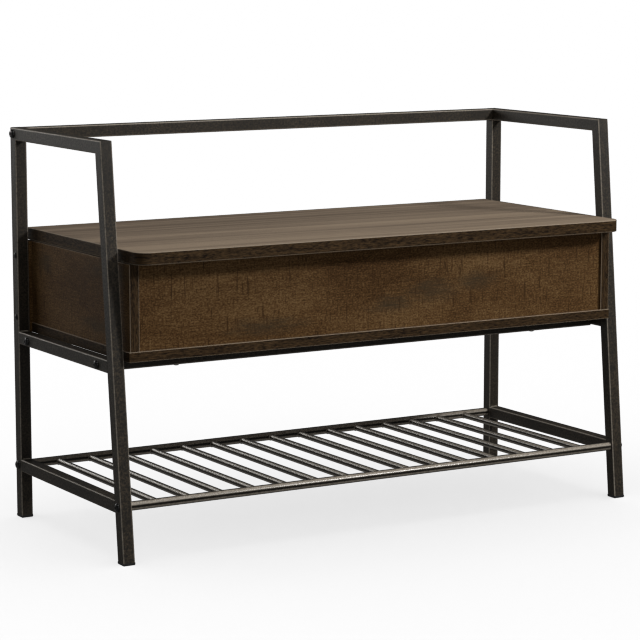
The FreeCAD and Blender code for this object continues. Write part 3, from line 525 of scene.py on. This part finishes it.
def knot_mask(tree, along, across, knots):
    """1 inside the knots and 0 away from them: the distance from each knot's middle as a share of
    its half width and half height, roughened by noise."""
    rough = grain(tree, along, across, *KNOT_OUTLINE)
    mask = None
    for (knot_along, knot_across), (half_along, half_across) in knots:
        aside = joined(tree, joined(tree, along, knot_along, "SUBTRACT"), half_along, "DIVIDE")
        above = joined(tree, joined(tree, across, knot_across, "SUBTRACT"), half_across, "DIVIDE")
        squares = [joined(tree, absolute(tree, part), 2.0, "POWER") for part in (aside, above)]
        distance = joined(tree, joined(tree, *squares), 0.5, "POWER")
        ragged = joined(tree, distance, joined(tree, rough, KNOT_RAGGEDNESS, "MULTIPLY"))
        one = spread(tree, ragged, *KNOT_FADE)
        mask = one if mask is None else joined(tree, mask, one, "MAXIMUM")
    return mask


def sawn_laminate(name, thickness, along, knots, rim_highlight_share):
    """Sawn-oak laminate: gold and dark patches along the grain, short fibres with it, fine saw
    marks across it, knots with rippled grain, and a grained band on the board's edges. The rim
    highlight share is how far the line between face and band goes towards a painted highlight."""
    material, tree, shader, place = new_finish(name, IOR=1.47, Specular_IOR_Level=LAMINATE_SHEEN)
    with_grain, across, through, run = board_places(tree, place, thickness, along)
    patches = grain(tree, with_grain, across, *PATCHES)
    fibres = grain(tree, with_grain, across, *FIBRES)
    saw_marks = grain(tree, with_grain, across, *SAW_MARKS)
    mottle = grain(tree, with_grain, across, *MOTTLE)
    fine = weighted(tree, (fibres, 0.24), (saw_marks, 0.16), (mottle, 0.60))
    tone = weighted(tree, (patches, 0.20), (fine, 0.80))
    colour = ramp(tree, tone, BOARD_STOPS)
    in_knots = knot_mask(tree, with_grain, across, knots)
    rippled = joined(tree, across, joined(tree, patches, RIPPLE_SWAY, "MULTIPLY"))
    ripples = grain(tree, with_grain, rippled, *KNOT_RIPPLES)
    knot_share = joined(tree, in_knots, spread(tree, ripples, *KNOT_SHARE), "MULTIPLY")
    colour = blended(tree, knot_share, colour, KNOT_GREY)
    cracks = grain(tree, with_grain, across, *CRACKS)
    colour = blended(tree, spread(tree, cracks, *CRACK_SHARE), colour, BOARD_DARK)
    band, band_fibres = edge_band(tree, run, through)
    square = squareness(tree, place, thickness)
    colour = blended(tree, spread(tree, square, *FACE_LIMITS), band, colour)
    # Painted highlight on the rounded line between face and edge band
    rim = joined(tree, rim_mask(tree, square), rim_highlight_share, "MULTIPLY")
    tree.links.new(blended(tree, rim, colour, BAND_RIM_HIGHLIGHT), shader.inputs["Base Color"])
    relief = joined(tree, fine, band_fibres)
    tree.links.new(spread(tree, relief, *BOARD_GLOSS), shader.inputs["Roughness"])
    raise_surface(tree, shader, relief, LAMINATE_DEPTH)
    return material


FRONT_LOW, FRONT_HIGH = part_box("front_panel")
SIDE_LOW, SIDE_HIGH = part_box("left_side_panel")
BOX_WALL = FRONT_HIGH.z - FRONT_LOW.z

# Each knot: its middle along the grain and across it, then its half length and half height
FRONT_KNOTS = (
    ((0.10, FRONT_LOW.z + 0.42 * BOX_WALL), (0.075, 0.030)),
    ((0.19, FRONT_LOW.z + 0.50 * BOX_WALL), (0.055, 0.022)),
    ((0.02, FRONT_LOW.z + 0.30 * BOX_WALL), (0.060, 0.020)),
    ((-0.22, FRONT_LOW.z + 0.16 * BOX_WALL), (0.100, 0.020)),
)
SIDE_KNOTS = (
    ((SIDE_HIGH.y - 0.055, SIDE_LOW.z + 0.78 * BOX_WALL), (0.045, 0.026)),
    ((SIDE_LOW.y + 0.070, SIDE_LOW.z + 0.86 * BOX_WALL), (0.120, 0.022)),
    ((SIDE_LOW.y + 0.110, SIDE_LOW.z + 0.20 * BOX_WALL), (0.090, 0.018)),
)
BACK_KNOTS = (
    ((-0.16, FRONT_LOW.z + 0.55 * BOX_WALL), (0.070, 0.028)),
    ((0.27, FRONT_LOW.z + 0.35 * BOX_WALL), (0.090, 0.022)),
)
FLOOR_KNOTS = (((0.15, 0.02), (0.060, 0.025)), ((-0.28, -0.07), (0.080, 0.030)))

# How far each board's rim goes towards the painted highlight
FRONT_RIM_HIGHLIGHT, BACK_RIM_HIGHLIGHT, SIDE_RIM_HIGHLIGHT, BOTTOM_RIM_HIGHLIGHT = 0.45, 0.0, 0.90, 0.90

dress(("front_panel",), sawn_laminate("front_board_laminate", "Y", "X", FRONT_KNOTS, FRONT_RIM_HIGHLIGHT))
dress(("back_panel",), sawn_laminate("back_board_laminate", "Y", "X", BACK_KNOTS, BACK_RIM_HIGHLIGHT))
side_laminate = sawn_laminate("side_board_laminate", "X", "Y", SIDE_KNOTS, SIDE_RIM_HIGHLIGHT)
dress(("left_side_panel", "right_side_panel"), side_laminate)
dress(("bottom_board",), sawn_laminate("bottom_board_laminate", "Z", "X", FLOOR_KNOTS, BOTTOM_RIM_HIGHLIGHT))


# ---------------------------------------------------------------------------------------------
# Box joinery
# Zinc-plated screws hold the bottom board to the cross rails. Die-cast cam locks draw the boards
# together on zinc-plated bolts, and plain beech dowels keep them in line.
# ---------------------------------------------------------------------------------------------

BEECH_LIGHT = (0.56, 0.39, 0.23, 1)
BEECH_DARK = (0.40, 0.26, 0.14, 1)
BEECH_FLECK = 0.0018
BEECH_DEPTH = 0.00008


def beech(name):
    """Plain beech: fine light and dark flecks, with low relief."""
    material, tree, shader, place = new_finish(name, IOR=1.45)
    here = place.outputs["Object"]
    flecks = noise(tree, here, BEECH_FLECK, 4.0, 0.7)
    colour = ramp(tree, flecks, [(0.38, BEECH_DARK), (0.62, BEECH_LIGHT)])
    tree.links.new(colour, shader.inputs["Base Color"])
    tree.links.new(spread(tree, flecks, 0.3, 0.7, 0.60, 0.75), shader.inputs["Roughness"])
    raise_surface(tree, shader, flecks, BEECH_DEPTH)
    return material


dress(("board_screws", "cam_locks", "cam_bolts"), zinc)
dress(("panel_dowels",), beech("dowel_beech"))


# ---------------------------------------------------------------------------------------------
# Lid
# The seat is one thicker board in a grey-brown oak laminate with long grain and wide light and
# dark bands, rounded at its two front corners and edged all round with a dark grained band.
# ---------------------------------------------------------------------------------------------

LID_DARK = (0.1350, 0.1020, 0.0745, 1)
LID_GREY = (0.1980, 0.1520, 0.1120, 1)
LID_TAN = (0.2850, 0.2200, 0.1600, 1)
LID_PORE = (0.0800, 0.0560, 0.0390, 1)
LID_LOW, LID_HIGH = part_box("lid")
LID_RIM_HIGHLIGHT = 0.60                  # how far the lid's rim goes towards its painted highlight
LID_RELIEF = 0.00008
BAND_SLANT = 0.012              # how far the bands drift across the lid per metre of its length
LID_SWAY = 0.030                # how far the grain bows across the lid

# Shares of the lid's depth, front to back, and how light the wide band is there
LID_BANDS = (
    (0.00, 0.80), (0.14, 0.60), (0.24, 0.45), (0.36, 0.85),
    (0.50, 0.55), (0.68, 0.36), (0.86, 0.28), (1.00, 0.30),
)

# Patterns, as on the box boards
LID_BOW = (0.90, 0.30, 1.0)
LID_WIDE_STREAKS = (0.95, 0.0230, 2.0, 0.5)
LID_STREAKS = (0.45, 0.0085)
LID_FIBRES = (0.060, 0.0014, 4.0, 0.7)
LID_PORES = (0.022, 0.0009, 2.0, 0.5)

LID_STOPS = ((0.40, LID_DARK), (0.48, LID_GREY), (0.58, LID_TAN))
PORE_SHARE = (0.60, 0.70, 0.0, 0.55)   # noise where pores begin and are full, and their strength
LID_GLOSS = (0.7, 1.3, 0.58, 0.46)     # the relief's range, and the roughness at its ends


def lid_laminate(name):
    """Long-grain laminate: wide bands across the lid's depth that drift and waver along it, long
    streaks a finger wide, fine fibres, and short dark pores with the grain."""
    material, tree, shader, place = new_finish(name, IOR=1.47, Specular_IOR_Level=LAMINATE_SHEEN)
    along, across, through, run = board_places(tree, place, "Z", "X")
    sway = grain(tree, along, across, *LID_BOW)
    drifted = joined(tree, across, weighted(tree, (sway, LID_SWAY), (along, BAND_SLANT)))
    depth = spread(tree, drifted, LID_LOW.y + LID_SWAY / 2, LID_HIGH.y + LID_SWAY / 2)
    bands = ramp(tree, depth, [(at, (tone, tone, tone, 1)) for at, tone in LID_BANDS])
    wide_streaks = grain(tree, along, drifted, *LID_WIDE_STREAKS)
    streaks = grain(tree, along, drifted, *LID_STREAKS)
    fibres = grain(tree, along, drifted, *LID_FIBRES)
    tone = weighted(tree, (bands, 0.20), (streaks, 0.26), (wide_streaks, 0.38), (fibres, 0.16))
    colour = ramp(tree, tone, LID_STOPS)
    pores = grain(tree, along, drifted, *LID_PORES)
    colour = blended(tree, spread(tree, pores, *PORE_SHARE), colour, LID_PORE)
    band, band_fibres = edge_band(tree, run, through)
    square = squareness(tree, place, "Z")
    colour = blended(tree, spread(tree, square, *FACE_LIMITS), band, colour)
    # Painted highlight on the rounded line between face and edge band
    rim = joined(tree, rim_mask(tree, square), LID_RIM_HIGHLIGHT, "MULTIPLY")
    tree.links.new(blended(tree, rim, colour, BAND_RIM_HIGHLIGHT), shader.inputs["Base Color"])
    relief = joined(tree, fibres, band_fibres)
    tree.links.new(spread(tree, relief, *LID_GLOSS), shader.inputs["Roughness"])
    raise_surface(tree, shader, relief, LID_RELIEF)
    return material


dress(("lid",), lid_laminate("lid_board_laminate"))


# ---------------------------------------------------------------------------------------------
# Hinges, lid stays and bumpers
# Three butt hinges and a folding two-link stay at each end, with their screws and rivets, all of
# zinc-plated steel. Soft black pads on the box rim take the lid as it closes.
# ---------------------------------------------------------------------------------------------

BUMPER_BLACK = (0.020, 0.020, 0.020, 1)
BUMPER_GRAIN = 0.0005
STAY_PARTS = ("lid_bracket", "side_bracket", "upper_link", "lower_link", "rivet")

dress([name for name in nodes if name.startswith("hinge_")], zinc)
dress([f"{side}_stay_{part}" for side in SIDES for part in STAY_PARTS], zinc)
dress(("stay_lid_screws", "stay_side_screws"), zinc)
dress(("lid_bumpers",), moulded_plastic("bumper_rubber", BUMPER_BLACK, GLIDE_DUST, BUMPER_GRAIN))


# ---------------------------------------------------------------------------------------------
# Studio
# A plain pale floor in dim white surroundings. A small key lamp stands front right, a broad one
# overhead, and weaker ones in front and low behind the left; two more light the floor alone.
# ---------------------------------------------------------------------------------------------

FLOOR_RADIUS = 60.0
FLOOR_STEPS = 96
FLOOR_RINGS = 24
FLOOR_FIRST_RING = 0.02         # the first ring's share of the way out, before it is squared
FLOOR_CLOUD = 0.5
CAMERA_AZIMUTH = -30.58
CAMERA_ELEVATION = 8.55
CAMERA_DISTANCE = 4.25
CAMERA_AIM = (-0.0069, 0.0136, 0.3237)
CAMERA_LENS = 140.35
WALL_LIGHT = 0.07
LAMP_COLOUR = (1.0, 0.98, 0.95)
BACKDROP_AIM = (-3.2, 5.4, 0.0)  # middle of the brightly lit floor behind the bench, to its left

# Each lamp's azimuth and elevation in degrees, distance, width, height, and power in watts
BENCH_LAMPS = {
    "key_lamp": (37, 31, 3.2, 0.5, 0.5, 60),
    "top_lamp": (10, 68, 3.0, 2.4, 1.6, 39),
    "front_lamp": (-12, 8, 3.5, 2.5, 1.0, 9),
    "left_lamp": (-147, 19, 2.26, 2.0, 0.5, 15),
}
FLOOR_LAMP = (0, 88, 3.5, 4.0, 4.0, 13)
BACKDROP_LAMP = (0, 88, 2.5, 5.0, 3.0, 120)


def from_the_bench(azimuth, elevation):
    """Direction from the bench: azimuth in degrees from its front towards its right, and up."""
    a, e = math.radians(azimuth), math.radians(elevation)
    return np.array([math.sin(a) * math.cos(e), -math.cos(a) * math.cos(e), math.sin(e)])


def look_along(obj, aim, azimuth, elevation, distance):
    """Puts a lamp or camera at a distance from an aim point, facing it."""
    obj.location = np.array(aim) + from_the_bench(azimuth, elevation) * distance
    obj.rotation_euler = (math.radians(90 - elevation), 0, math.radians(azimuth))
    bpy.context.scene.collection.objects.link(obj)


def make_floor():
    """A wide round floor: rings of points whose distance from the middle grows as its square."""
    turn = np.linspace(0, 2 * math.pi, FLOOR_STEPS, endpoint=False)
    reach = FLOOR_RADIUS * np.linspace(FLOOR_FIRST_RING, 1, FLOOR_RINGS) ** 2
    x, y = np.outer(reach, np.cos(turn)), np.outer(reach, np.sin(turn))
    points = np.stack([x, y, np.zeros_like(x)], -1)
    index = np.arange(x.size).reshape(x.shape)
    ahead = np.roll(index, -1, 1)
    quads = np.stack([index[:-1], index[1:], ahead[1:], ahead[:-1]], -1).reshape(-1, 4)
    mesh = bpy.data.meshes.new("floor")
    mesh.from_pydata(points.reshape(-1, 3).tolist(), [], quads.tolist() + [index[0].tolist()])
    floor = bpy.data.objects.new("floor", mesh)
    bpy.context.scene.collection.objects.link(floor)
    material, tree, shader, place = new_finish("pale_floor", Roughness=0.9)
    cloud = noise(tree, place.outputs["Object"], FLOOR_CLOUD, 2.0)
    shades = [(0.3, (0.88, 0.88, 0.87, 1)), (0.7, (0.91, 0.91, 0.90, 1))]
    tree.links.new(ramp(tree, cloud, shades), shader.inputs["Base Color"])
    mesh.materials.append(material)
    floor.is_shadow_catcher = True


def make_group(name, things):
    """A named group of things that a lamp lights or that shade it."""
    group = bpy.data.collections.new(name)
    for thing in things:
        group.objects.link(thing)
    return group


def make_lamp(name, aim, lamp_values, lit, shaded_by=None):
    """A flat soft lamp that faces an aim point, lights one group of things, and is shaded by
    one group, or by everything."""
    azimuth, elevation, distance, width, height, power = lamp_values
    lamp = bpy.data.lights.new(name, "AREA")
    lamp.shape = "RECTANGLE"
    lamp.size, lamp.size_y = width, height
    lamp.energy, lamp.color = power, LAMP_COLOUR
    holder = bpy.data.objects.new(name, lamp)
    holder.visible_camera = False
    holder.light_linking.receiver_collection = lit
    holder.light_linking.blocker_collection = shaded_by
    look_along(holder, aim, azimuth, elevation, distance)


def make_sky():
    """The studio's walls: white where they are the backdrop, and dim as a source of light."""
    world = bpy.data.worlds.new("studio_walls")
    world.use_nodes = True
    tree = world.node_tree
    backdrop = tree.nodes["Background"]
    backdrop.inputs["Color"].default_value = (1, 1, 1, 1)
    walls = add_node(tree, "ShaderNodeBackground", {"Color": (1, 1, 1, 1), "Strength": WALL_LIGHT})
    path = tree.nodes.new("ShaderNodeLightPath")
    seen = {0: path.outputs["Is Camera Ray"], 1: walls.outputs[0], 2: backdrop.outputs[0]}
    mixed = add_node(tree, "ShaderNodeMixShader", seen)
    tree.links.new(mixed.outputs[0], tree.nodes["World Output"].inputs["Surface"])
    bpy.context.scene.world = world


def make_camera():
    """The camera, to the left of the bench's front and a little higher than the bench."""
    camera = bpy.data.cameras.new("camera")
    camera.lens, camera.sensor_width = CAMERA_LENS, 36.0
    holder = bpy.data.objects.new("camera", camera)
    look_along(holder, CAMERA_AIM, CAMERA_AZIMUTH, CAMERA_ELEVATION, CAMERA_DISTANCE)
    bpy.context.scene.camera = holder


make_floor()
make_sky()
meshes = [thing for thing in bpy.context.scene.objects if thing.type == "MESH"]
bench = make_group("bench_under_lamps", [thing for thing in meshes if thing.name != "floor"])
ground = make_group("floor_under_lamp", [thing for thing in meshes if thing.name == "floor"])
for lamp_name, lamp_values in BENCH_LAMPS.items():
    make_lamp(lamp_name, CAMERA_AIM, lamp_values, bench)
make_lamp("floor_lamp", CAMERA_AIM, FLOOR_LAMP, ground, ground)
make_lamp("backdrop_lamp", BACKDROP_AIM, BACKDROP_LAMP, ground, ground)
make_camera()
bpy.context.scene.view_settings.view_transform = "Standard"
